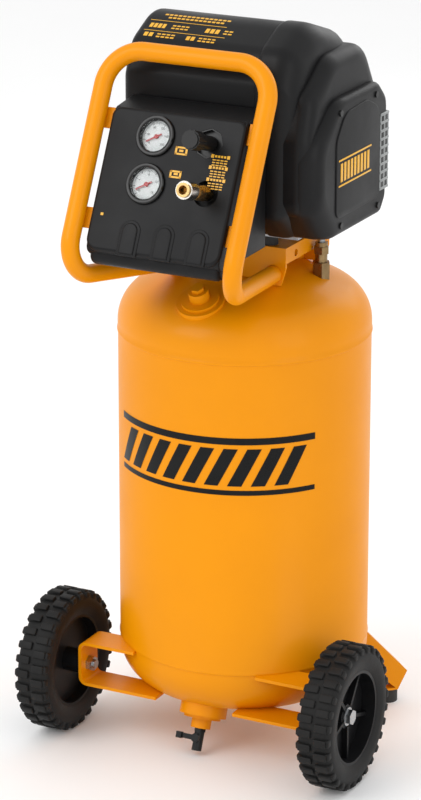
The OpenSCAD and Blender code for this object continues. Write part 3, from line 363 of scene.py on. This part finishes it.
def ring_of(piece, count, name, step=None):
    """The piece and its copies, evenly round the Z axis, as one piece."""
    step = 360.0 / count if step is None else step
    settle(piece)
    others = [copied(piece, around_z(step * i), name) for i in range(1, count)]
    return joined([piece] + others, name)


def fit(piece, material, body="frame", replaces=()):
    """Gives the piece its finish and its body, and hides the nodes that it stands for."""
    piece.data.materials.clear()
    piece.data.materials.append(material)
    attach(piece, body)
    if replaces:
        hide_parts(*replaces)
    return piece


def arc_points(centre, radius, start, end, steps):
    """Points (a, b) on an arc, in degrees."""
    return [(centre[0] + radius * math.cos(math.radians(start + (end - start) * i / steps)),
             centre[1] + radius * math.sin(math.radians(start + (end - start) * i / steps)))
            for i in range(steps + 1)]


def soft_outline(corners, steps=8):
    """A closed outline through corners of (a, b, radius), each rounded by its radius."""
    outline = []
    count = len(corners)
    for i, (a, b, radius) in enumerate(corners):
        here = Vector((a, b))
        if not radius:
            outline.append((a, b))
            continue
        u = (Vector(corners[i - 1][:2]) - here).normalized()
        v = (Vector(corners[(i + 1) % count][:2]) - here).normalized()
        half = math.acos(max(-1, min(1, u.dot(v)))) / 2
        mid = here + (u + v).normalized() * radius / math.sin(half)
        first = here + u * radius / math.tan(half) - mid
        last = here + v * radius / math.tan(half) - mid
        sweep = math.atan2(first.x * last.y - first.y * last.x, first.dot(last))
        for k in range(steps + 1):
            angle = math.atan2(first.y, first.x) + sweep * k / steps
            outline.append((mid.x + radius * math.cos(angle), mid.y + radius * math.sin(angle)))
    return outline


upright = Matrix.Translation((0, tank_y, 0))


# ---------------------------------------------------------------- tank

crown_share, knuckle_share = 0.9045, 0.1727  # a head's two radii as shares of its width
top_seam_drop, bottom_seam_rise = 14, 9


def head_profile(rise):
    """Half section of a dished head from its pole to its seam: (radius, height) in mm."""
    across = 2 * tank_r / MM
    crown, knuckle = crown_share * across, knuckle_share * across
    edge = across / 2 - knuckle
    turn = math.degrees(math.asin(edge / (crown - knuckle)))
    points = arc_points((0, rise - crown), crown, 90, 90 - turn, 18)
    return points[:-1] + arc_points((edge, 0), knuckle, 90 - turn, 0, 14)


def build_tank():
    low, high = shell_low.z / MM, shell_high.z / MM
    radius = tank_r / MM
    top = [(r, high + z) for r, z in head_profile((tank_top - shell_high.z) / MM)]
    bottom = [(r, low - z) for r, z in head_profile((shell_low.z - tank_bottom) / MM)]
    top[0] = (0, top[0][1])
    bottom[0] = (0, bottom[0][1])

    def bead(at):
        return [(radius, at + 5), (radius + 0.5, at + 4.4), (radius + 0.9, at + 2.4),
                (radius + 0.5, at + 0.6), (radius - 0.4, at)]

    profile = top + bead(high - top_seam_drop) + bead(low + bottom_seam_rise) + bottom[::-1]
    tank = settle(lathe("tank", profile, steps=128), upright, smooth=40)
    fit(tank, paint, replaces=("tank_shell", "top_head", "bottom_head"))


print_lift, degrees_a_step = 0.25, 1.5


def tank_patch(name, start, end, low, high):
    """A thin patch on the tank's side: angles in degrees from the front towards +X."""
    radius = tank_r / MM + print_lift
    steps = max(8, round((end - start) / degrees_a_step))
    piece = lathe(name, [(radius, low), (radius, high)], steps=steps, turn=end - start)
    return settle(piece, upright @ around_z(end - 90))


def build_label():
    """A plain black label: two bars with a row of slanted stripes between."""
    start, end = -44, 59.5
    upper_bar, lower_bar = (477, 486.5), (405, 412)
    bars = [tank_patch("label_bar", start, end, *upper_bar),
            tank_patch("label_bar_low", start, end, *lower_bar)]
    stripe_low, stripe_high = 418, 471
    count, lean, filled = 9, 9.0, 0.6
    pitch = (end - start - lean) / count
    for i in range(count):
        left = start + i * pitch
        right = left + pitch * filled
        stripe = tank_patch("label_stripe", left, right + lean, stripe_low, stripe_high)
        bpy.ops.object.mode_set(mode="EDIT")
        for side, keep_left in ((left, False), (right, True)):
            foot, head = math.radians(side), math.radians(side + lean)
            a = Vector((math.sin(foot), -math.cos(foot), 0)) * tank_r
            b = Vector((math.sin(head), -math.cos(head), 0)) * tank_r
            a.z, b.z = stripe_low * MM, stripe_high * MM
            outward = (a + b) / 2
            outward.z = 0
            across = (b - a).cross(outward).normalized()
            bpy.ops.mesh.select_all(action="SELECT")
            bpy.ops.mesh.bisect(plane_co=a + Vector((0, tank_y, 0)), plane_no=across,
                                clear_outer=keep_left, clear_inner=not keep_left)
        bars.append(settle(stripe))
    label = joined(bars, "tank_label")
    fit(label, label_black)


build_tank()
build_label()


def loft(name, sections):
    """Bridges closed outlines of (y, z), each at its own x in millimetres, and caps both ends."""
    rings = []
    for x, outline in sections:
        ring = trace(name, [(x, y, z) for y, z in outline], closed=True)
        bpy.ops.object.mode_set(mode="OBJECT")
        rings.append(ring)
    piece = joined(rings, name)
    bpy.ops.object.mode_set(mode="EDIT")
    bpy.ops.mesh.select_mode(type="EDGE")
    bpy.ops.mesh.select_all(action="SELECT")
    bpy.ops.mesh.bridge_edge_loops()
    for x in (sections[0][0] * MM, sections[-1][0] * MM):
        pick(piece, "EDGE", lambda e: all(abs(v.co.x - x) < 1e-7 for v in e.verts))
        bpy.ops.mesh.edge_face_add()
    mend()
    return piece


def cut_away(piece, cutter):
    """Takes the cutter's shape out of the piece."""
    settle(cutter)
    deselect()
    piece.select_set(True)
    bpy.context.view_layer.objects.active = piece
    hole = piece.modifiers.new("cut", "BOOLEAN")
    hole.object = cutter
    hole.operation = "DIFFERENCE"
    hole.solver = "EXACT"
    bpy.ops.object.modifier_apply(modifier="cut")
    deselect()
    cutter.select_set(True)
    bpy.context.view_layer.objects.active = cutter
    bpy.ops.object.delete()
    return piece


# ---------------------------------------------------------------- shroud

hood_low, hood_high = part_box("shroud_hood")
low_z = hood_low.z / MM
hood_rise = 282
top_z = low_z + hood_rise
back_y = (hood_high.y - tank_y) / MM
front_y = (hood_low.y - tank_y) / MM
left_x = hood_low.x / MM
end_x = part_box("shroud_end_cover")[1].x / MM
hood_corners = [(-88, low_z, 12), (back_y - 4, low_z, 12), (back_y, top_z - 104, 55),
                (50, top_z - 30, 60), (-50, top_z + 2, 60), (-112, top_z - 28, 34),
                (front_y, top_z - 69, 22), (front_y, low_z + 38, 24)]


def quarter(radius, depth):
    """Inset of a rounded edge of this radius at a depth behind the end face."""
    reach = max(0.0, radius - depth)
    return radius - math.sqrt(max(0.0, radius * radius - reach * reach))


def inward(corners, amount):
    """The corners of an outline drawn in by an amount towards its middle, all alike."""
    mid = Vector((sum(c[0] for c in corners), sum(c[1] for c in corners))) / len(corners)
    moved = []
    for a, b, radius in corners:
        out = Vector((a, b)) - mid
        moved.append((a - amount * max(-1, min(1, out.x / 60)),
                      b - amount * max(-1, min(1, out.y / 60)), max(1, radius - amount * 0.3)))
    return moved


def rounded_slab(name, corners, x0, x1, left, right, steps=7):
    """A slab whose left and right end edges are rounded by their own radii."""
    places = [(x0 + left * (1 - math.cos(math.pi / 2 * i / steps)), 0)
              for i in range(steps + 1)] if left else [(x0, 0)]
    places += [(x1 - right * (1 - math.sin(math.pi / 2 * i / steps)), 1)
               for i in range(steps + 1)] if right else [(x1, 1)]
    sections = []
    for x, side in places:
        inset = quarter(right, x1 - x) if side else quarter(left, x - x0)
        sections.append((x, soft_outline(inward(corners, inset), 9)))
    return loft(name, sections)


def housing_section(front, other):
    """Outline of the end housing, with its front face and its other faces drawn in."""
    y0, y1 = front_y + 5 + front, back_y - other
    z0, z1 = low_z + other, top_z - 97 - other
    return soft_outline([(y0 + 40, z0, 16), (y1 - 14, z0, 12), (y1, z0 + 18, 12),
                         (y1, z1 - 24, 20), (y1 - 26, z1, 20), (-56 + front * 0.4, z1, 44),
                         (y0, z1 - 52 - front * 0.1, 44), (y0, z0 + 50 + front * 0.2, 44)], 9)


def build_shroud():
    band_proud, band_crown = 1.6, 0.5
    main = rounded_slab("shroud", hood_corners, left_x, 84, 13, 0)
    band_corners = [(a, b + (band_crown if b > top_z else 0), r) for a, b, r in hood_corners]
    band = rounded_slab("shroud_band", inward(band_corners, -band_proud), 74, 133, 9, 32)
    step_corners = [(-78, low_z + 2, 12), (back_y - 6, low_z + 2, 12),
                    (back_y, top_z - 104, 42), (62, top_z - 41, 46), (-46, top_z - 41, 50),
                    (-108, top_z - 84, 40), (front_y + 4, top_z - 142, 30),
                    (front_y + 4, low_z + 48, 30)]
    step = rounded_slab("shroud_step", step_corners, 100, 153, 0, 20)
    front_round, other_round, steps, housing_start = 30, 9, 9, 118
    sections = [(housing_start, housing_section(0, 0))]
    for i in range(steps + 1):
        angle = math.pi / 2 * i / steps
        x = end_x - front_round * (1 - math.sin(angle))
        front_inset = front_round * (1 - math.cos(angle))
        sections.append((x, housing_section(front_inset, quarter(other_round, end_x - x))))
    housing = loft("shroud_end", sections)
    panel = slab("shroud_panel", soft_outline([(-66, low_z + 26, 12), (70, low_z + 26, 10),
                                               (70, top_z - 130, 26), (30, top_z - 112, 30),
                                               (-40, top_z - 116, 34), (-66, top_z - 150, 30)], 8),
                 end_x - 3, end_x + 1.8, rounding=1.6, steps=4)
    pieces = [settle(p, upright, smooth=42) for p in (main, band, step, housing, panel)]
    shroud = joined(pieces, "shroud")
    fit(shroud, moulding, replaces=("shroud_hood", "shroud_end_cover"))


def build_grille():
    """Silver vent wrapped round the housing's rear corner."""
    low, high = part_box("side_grille")
    y0, y1 = (low.y - tank_y) / MM, (high.y - tank_y) / MM + 0.6
    z0, z1 = low.z / MM, high.z / MM
    x0, x1 = low.x / MM, high.x / MM + 1.6
    bars = []
    count, tall, deep, post, edge = 10, 4, 5, 3.5, 1.2
    for i in range(count):
        z = z0 + (z1 - z0 - tall) * i / (count - 1)
        bars.append(block("vent_bar", (x1 - deep, y0, z), (x1, y1, z + tall), edge, 3))
        bars.append(block("vent_bar", (x0, y1 - deep, z), (x1 - 1, y1, z + tall), edge, 3))
    for y in (y0, (y0 + y1) / 2 - 1.5, y1 - post):
        bars.append(block("vent_post", (x1 - deep, y, z0), (x1 - 0.6, y + post, z1), edge, 3))
    for x in (x0, (x0 + x1) / 2):
        bars.append(block("vent_post", (x, y1 - deep, z0), (x + post, y1 - 0.6, z1), edge, 3))
    grille = joined([settle(b, upright) for b in bars], "vent_grille")
    fit(grille, silver_plastic, replaces=("side_grille",))
    dark = block("vent_recess", (x1 - 4, y0 + 1, z0 + 1), (x1 - 1.4, y1 - 2, z1 - 1), 0.5)
    fit(settle(dark, upright), gloss_black)


def outline_strip(name, points, x0, x1, lift=0.3):
    """A thin printed strip that follows part of an outline of (y, z), just above it."""
    lifted = []
    for i, point in enumerate(points):
        ahead = Vector(points[min(i + 1, len(points) - 1)]) - Vector(points[max(i - 1, 0)])
        normal = Vector((ahead.y, -ahead.x)).normalized()
        lifted.append((x0, point[0] + normal.x * lift, point[1] + normal.y * lift))
    piece = trace(name, lifted)
    bpy.ops.mesh.select_all(action="SELECT")
    push(((x1 - x0) * MM, 0, 0))
    return settle(piece, upright)


def along(points, start, end, steps=6):
    """Points of a path between two distances along it."""
    found = []
    for i in range(steps + 1):
        left = start + (end - start) * i / steps
        for a, b in zip(points, points[1:]):
            span = (Vector(b) - Vector(a)).length
            if left <= span:
                found.append(tuple(Vector(a).lerp(Vector(b), left / span)))
                break
            left -= span
    return found


def build_hood_print():
    """Plain rows of bars on the front of the hood's top.

    Each row is its distance down the slope, its height, and its spans across.
    """
    outline = soft_outline(hood_corners, 9)
    path = [p for p in outline if p[0] < -18 and p[1] > top_z - 80]
    path.sort(key=lambda p: (-p[0], -p[1]))
    rows = [(34, 3.8, [(-88, 11)]), (41, 3.4, [(-80, 4)]), (50, 1.0, [(-103, 10)]),
            (57, 9, [(-99, -74), (-16, 6)]), (57.5, 2.6, [(-66, -40), (11, 25)]),
            (63, 2.6, [(-66, -40), (11, 25)]), (72, 1.0, [(-103, 17)]),
            (77, 7.5, [(-99, -84), (-36, -22)]), (77.5, 2.5, [(-80, -52), (-18, 8)]),
            (82.5, 2.5, [(-80, -52), (-18, 8)])]
    mark_pitch, mark_share = 6.5, 0.76
    strips = []
    for start, height, spans in rows:
        for x0, x1 in spans:
            is_line = height < 1.5
            count = 1 if is_line else max(1, round((x1 - x0) / mark_pitch))
            pitch = (x1 - x0) / count
            for i in range(count):
                width = pitch * (mark_share if count > 1 else 1.0)
                strips.append(outline_strip("print_row", along(path, start, start + height, 2),
                                            x0 + i * pitch, x0 + i * pitch + width))
    fit(joined(strips, "hood_print"), print_yellow)


def build_badge():
    """Nine plain yellow bars between two lines, on the end panel."""
    back, out = end_x + 1.6, end_x + 2.3
    low, high, mid, line = low_z + 69, low_z + 106, -8, 2.4
    pieces = [block("badge_line", (back, mid - 52, z), (out, mid + 50, z + line), 0.2)
              for z in (low, high - line)]
    bar_pitch, bar_wide, bar_tall = 10.4, 6.4, 25
    for i in range(9):
        y = mid - 46 + i * bar_pitch
        bar = block("badge_bar", (back, 0, 0), (out, bar_wide, bar_tall), 0.2)
        pieces.append(settle(bar, Matrix.Translation((0, y * MM, (low + 6) * MM))))
    badge = joined([settle(p) for p in pieces], "end_badge")
    fit(settle(badge, upright), print_yellow)


build_shroud()
build_grille()
build_hood_print()
build_badge()


# ---------------------------------------------------------------- console

onto_panel = Matrix(((0, 1, 0, 0), (0, 0, 1, 0), (1, 0, 0, 0), (0, 0, 0, 1)))
console_low, console_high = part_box("console_panel")
half_w = console_high.x / MM
knob_at = (regulator.translation.x / MM, 200.7)
coupler_at = (60.0, 135.0)
gauge_x = tank_gauge.translation.x / MM
face_low, face_high = 42.0, 236.0
gauge_hole, knob_hole, coupler_hole = 27.8, 20.6, 17.5
hump_places = (-36, 14, 64)


def panel_slab(name, outline, back, out, rounding=0.0, steps=4):
    """A slab on the console's front: outline of (across, up), from back to out."""
    return settle(slab(name, outline, back, out, rounding, steps), on_front(0, 0) @ onto_panel)


def arch_outline(x, low, high, half, steps=10):
    return [(x - half, low), (x + half, low)] + arc_points((x, high - half), half, 0, 180, steps)


def build_console():
    lean = math.atan2(front.col[2].z, -front.col[2].y)
    lean_s, lean_c = math.sin(lean), math.cos(lean)
    foot = on_front(0, 0).translation / MM
    foot_y, foot_z = foot.y - tank_y / MM, foot.z

    def face(up, back=0.0):
        return foot_y + lean_s * up + lean_c * back, foot_z + lean_c * up - lean_s * back

    back_face = (console_high.y - tank_y) / MM
    bottom = console_low.z / MM
    y_low, z_low = face(face_low, 3)
    y_top, z_top = face(face_high - 1, 4)
    corners = [(y_low + 11, bottom, 9), (back_face, bottom + 2, 2), (back_face, z_top + 7, 4),
               (y_top, z_top, 8), (y_low, z_low, 11)]
    body = slab("console", soft_outline(corners, 8), -half_w + 1.5, half_w - 1.5, 6, 5)
    body = settle(body, upright, smooth=42)
    lip = slab("console_lip", soft_outline([(y_low + 2, bottom - 14, 12),
                                            (y_low + 54, bottom - 14, 13),
                                            (y_low + 68, bottom + 6, 8),
                                            (y_low + 10, z_low + 8, 8)], 6),
               3 - half_w, half_w - 3, 12, 6)
    lip = settle(lip, upright, smooth=42)
    plate_outline = soft_outline([(-half_w, face_low, 17), (half_w, face_low, 17),
                                  (half_w, face_high, 13), (-half_w, face_high, 13)], 8)
    plate = panel_slab("console_face", plate_outline, -22, 0, 5, 5)
    cutters = [panel_slab("cut", arc_points((gauge_x, up), gauge_hole, 0, 352.5, 47), -60, 20)
               for up in gauge_ups]
    cutters.append(panel_slab("cut", arc_points(knob_at, knob_hole, 0, 315, 7), -60, 20))
    cutters.append(panel_slab("cut", arc_points(coupler_at, coupler_hole, 0, 352.5, 47), -9, 20))
    for cutter in cutters:
        for piece in (body, plate):
            cut_away(piece, copied(cutter, Matrix.Identity(4), "cut"))
    deselect()
    for cutter in cutters:
        cutter.select_set(True)
    bpy.ops.object.delete()
    humps = [panel_slab("console_hump", arch_outline(x, 42, 84, 11), -2, 2.6, 1.8, 4)
             for x in hump_places]
    rims = [panel_slab("console_rim", arch_outline(x, 40, 88, 15), -2, 0.9, 0.8, 3)
            for x in hump_places]
    console = joined([body, plate, lip] + humps + rims, "console")
    settle(console, smooth=42)
    fit(console, moulding, replaces=("console_panel",))


def build_gauges():
    """Deep black bezels, with ticks and plain numbers on the dials."""
    first_angle, sweep, fine, ink_low = 225, 270, 5, -4.1
    bezel = lathe("gauge_bezel", [(20.8, -4.6), (21.0, 3.2), (22.0, 4.6), (24.2, 5.4),
                                  (26.2, 5.0), (27.3, 3.6), (27.5, 1.0), (27.5, -22),
                                  (6, -22), (6, -34), (0.01, -34), (0.01, -20), (20.8, -20),
                                  (20.8, -4.6)], 64)
    settle(bezel, smooth=40)
    bezels = []
    marks = []
    for at, count, unit, name in ((tank_gauge, 11, 20, "tank"), (outlet_gauge, 9, 2, "outlet")):
        bezels.append(copied(bezel, at, "gauge_bezel"))
        for i in range((count - 1) * fine + 1):
            inner, half = (16.6, 0.35) if i % fine == 0 else (17.8, 0.2)
            angle = first_angle - sweep * i / ((count - 1) * fine)
            tick = block("tick", (inner, -half, ink_low), (20, half, ink_low + 0.3), 0.02, 1)
            marks.append(settle(tick, at @ around_z(angle)))
        for i in range(0, count, 2):
            angle = math.radians(first_angle - sweep * i / (count - 1))
            deselect()
            bpy.ops.object.text_add()
            number = bpy.context.object
            number.data.body = str(i * unit)
            number.data.size = 4.2 * MM
            number.data.align_x = "CENTER"
            number.data.align_y = "CENTER"
            number.data.extrude = 0.1 * MM
            bpy.ops.object.convert(target="MESH")
            reach = 13.2 * MM
            spot = Matrix.Translation((reach * math.cos(angle), reach * math.sin(angle),
                                       -3.85 * MM))
            marks.append(settle(bpy.context.object, at @ spot))
    deselect()
    bezel.select_set(True)
    bpy.ops.object.delete()
    fit(joined(bezels, "gauge_bezels"), gloss_black, replaces=("gauge_cases",))
    fit(joined(marks, "gauge_markings"), dial_ink)


def build_console_print():
    """Plain yellow bars and framed signs printed beside the fittings."""
    def bar(x0, x1, up0, up1):
        return settle(block("print_bar", (x0, up0, -0.2), (x1, up1, 0.35), 0.05, 1),
                      on_front(0, 0))

    pieces = []
    for up in (183, 168, 152):
        pieces.append(bar(57, 61, up, up + 4.5))
        pieces.append(bar(80, 84, up, up + 4.5))
        pieces += [bar(62.5 + i * 4.3, 65.6 + i * 4.3, up + 0.8, up + 3.7) for i in range(4)]
        for row in (1, 2, 3):
            foot = up - 3.4 * row
            pieces += [bar(60 + i * 5.7, 64.4 + i * 5.7, foot, foot + 1.5) for i in range(4)]
    rail, post = 2.4, 3
    for x, up, wide, high in ((4, 181, 18, 11), (3, 150, 17, 10)):
        pieces.append(bar(x, x + wide, up, up + rail))
        pieces.append(bar(x, x + wide, up + high - rail, up + high))
        pieces.append(bar(x, x + post, up, up + high))
        pieces.append(bar(x + wide - post, x + wide, up, up + high))
        pieces.append(bar(x + 6, x + 12, up + 4, up + 7))
    pieces.append(bar(-84, -80, 89, 92.5))
    fit(joined(pieces, "console_print"), print_yellow)


build_console()
build_gauges()
build_console_print()


# ---------------------------------------------------------------- wheels

def build_wheel(side, body, node):
    """A moulded tyre: plain side bands and two staggered rows of chunky lugs."""
    low, high, mid = size_of(node)
    radius = (high.z - low.z) / 2 / MM
    width = (high.x - low.x) / MM
    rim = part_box(side + "_rim")
    rim_r = (rim[1].z - rim[0].z) / 2 / MM
    half = width / 2
    lug_half, lug_count = 5.4, 30
    profile = [(rim_r, -half + 5), (rim_r + 3, -half + 3), (rim_r + 9, -half + 1.6),
               (rim_r + 11, -half + 0.8), (rim_r + 20, -half), (radius - 12, -half + 1.2),
               (radius - 7, -half + 4), (radius - 4.8, -half + 9), (radius - 4.2, 0),
               (radius - 4.8, half - 9), (radius - 7, half - 4), (radius - 12, half - 1.2),
               (rim_r + 20, half), (rim_r + 11, half - 0.8), (rim_r + 9, half - 1.6),
               (rim_r + 3, half - 3), (rim_r, half - 5)]
    tyre = settle(lathe("tyre", profile + [profile[0]], 96), smooth=50)
    lug = block("lug", (radius - 9, -lug_half, 2.2), (radius - 0.4, lug_half, half - 4.5), 1.4, 3)
    shoulder = block("lug", (radius - 13, -lug_half, half - 8),
                     (radius - 3.0, lug_half, half - 0.6), 2.4, 3)
    near = joined([settle(lug), settle(shoulder)], "lug")
    ring = ring_of(near, lug_count, "lugs")
    other = copied(ring, Matrix.Rotation(math.pi, 4, "X") @ around_z(180 / lug_count), "lugs")
    wheel = joined([tyre, ring, other], side + "_tyre_tread")
    settle(wheel, facing(mid, (1, 0, 0), (0, 1, 0)), smooth=50)
    fit(wheel, tyre_rubber, body, replaces=(node,))


build_wheel("left", "left_wheel", "left_tyre")
build_wheel("right", "right_wheel", "right_tyre")


# ---------------------------------------------------------------- floor, light and camera

def build_stage():
    bpy.ops.object.select_all(action="DESELECT")
    bpy.ops.mesh.primitive_plane_add(size=14, location=(0, 0, 0))
    floor = bpy.context.object
    floor.name = "floor"
    floor.data.materials.append(finish("pale_floor", (0.93, 0.93, 0.93), (0.91, 0.91, 0.91),
                                       (0.6, 0.7), grain=60.0, grain_depth=0.02, blotch=0.6))
    world = bpy.data.worlds.new("studio")
    bpy.context.scene.world = world
    world.use_nodes = True
    sky = world.node_tree.nodes["Background"]
    sky.inputs["Color"].default_value = (1, 1, 1, 1)
    sky.inputs["Strength"].default_value = 1.0


def soft_light(name, place, aim, size, power):
    bpy.ops.object.light_add(type="AREA", location=place)
    lamp = bpy.context.object
    lamp.name = name
    lamp.data.shape = "RECTANGLE"
    lamp.data.size, lamp.data.size_y = size
    lamp.data.energy = power
    lamp.rotation_euler = (Vector(aim) - Vector(place)).to_track_quat("-Z", "Y").to_euler()


def build_camera():
    right = Vector((0.8886, 0.4587, 0))
    ahead = Vector((-0.43461, 0.84196, -0.31973)).normalized()
    right = (right - ahead * right.dot(ahead)).normalized()
    up = right.cross(ahead)
    turn = Matrix((right, up, -ahead)).transposed().to_4x4()
    data = bpy.data.cameras.new("view")
    camera = bpy.data.objects.new("view", data)
    bpy.context.scene.collection.objects.link(camera)
    camera.matrix_world = Matrix.Translation((1.9294, -3.8411 + tank_y, 1.9323)) @ turn
    data.lens = 146.83
    data.sensor_width = 36.0
    bpy.context.scene.camera = camera


build_stage()
soft_light("key", (-1.6, -3.2, 3.2), (0, 0, 0.6), (2.4, 2.4), 62)
soft_light("fill", (3.2, -1.2, 1.6), (0, 0, 0.6), (1.6, 2.4), 16)
soft_light("back", (0.6, 3.2, 2.4), (0, 0, 0.7), (2.0, 2.0), 20)
build_camera()
bpy.context.scene.view_settings.view_transform = "Standard"
